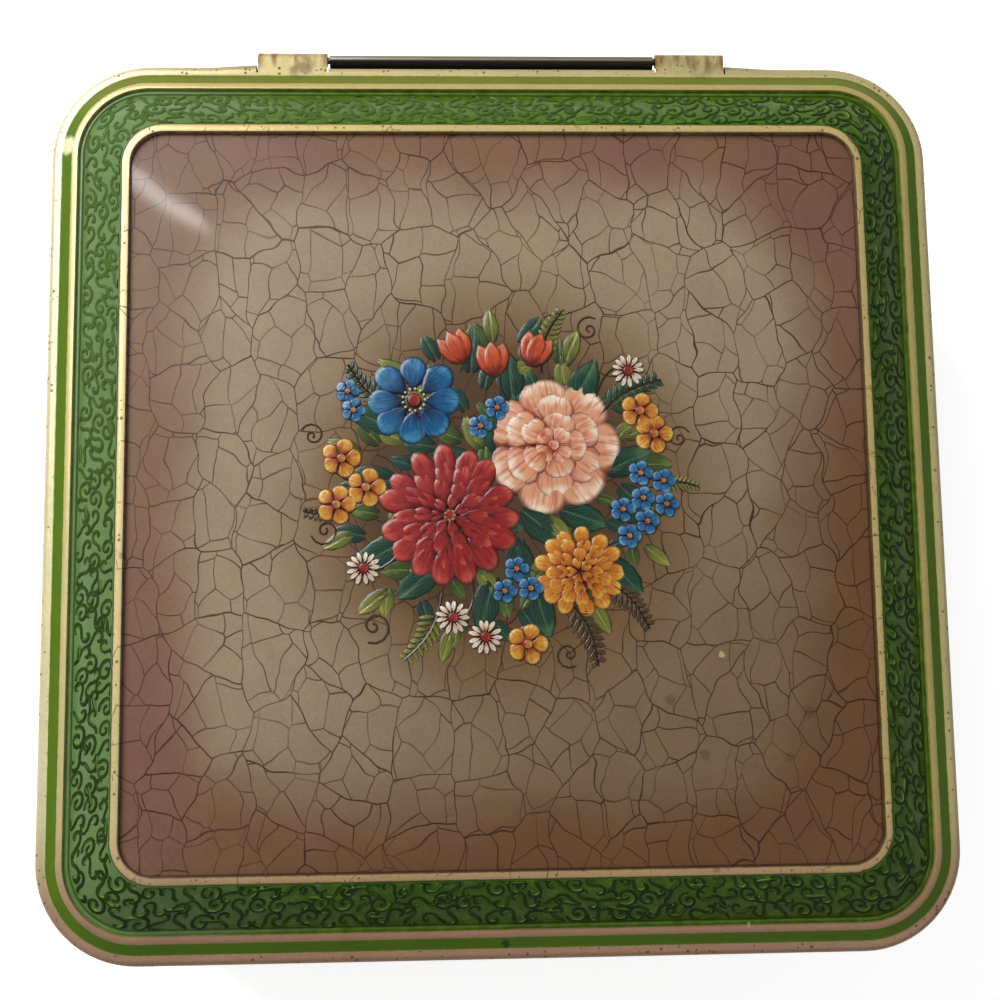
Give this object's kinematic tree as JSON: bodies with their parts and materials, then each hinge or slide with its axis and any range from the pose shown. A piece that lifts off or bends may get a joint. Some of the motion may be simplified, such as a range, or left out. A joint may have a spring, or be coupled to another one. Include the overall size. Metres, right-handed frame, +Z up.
{
  "type": "hinged tin box",
  "caption": "Square tinplate keepsake box with rounded corners, a beaded and domed lid with an embossed posy, rolled wire hinge and seamed base.",
  "frame": {"origin": "on the surface that the tin stands on, at the middle of the tin's box", "axes": "+Z up, +Y to the hinge at the back, +X to the right seen from the front"},
  "size_m": [0.1908, 0.1937, 0.0774],
  "materials": {
    "lid_enamel": "printed and lacquered tinplate: brown crackle panel, green scroll band, gold lines, cream rim",
    "wall_enamel": "printed and lacquered tinplate, brown crackle between green and gold lines, bare inside",
    "base_enamel": "gold lacquered tinplate, worn at the seam",
    "wire": "dull steel wire"
  },
  "bodies": {
    "body": {"body_wall": "wall_enamel", "base_plate": "base_enamel", "hinge_wire": "wire"},
    "lid": {"lid": "lid_enamel"}
  },
  "joints": [
    {"name": "lid_hinge", "type": "hinge", "parent": "body", "child": "lid", "pos_m": [0, 0.09526, 0.06435], "axis": [-1, 0, 0], "range_deg": [0, 110]}
  ]
}
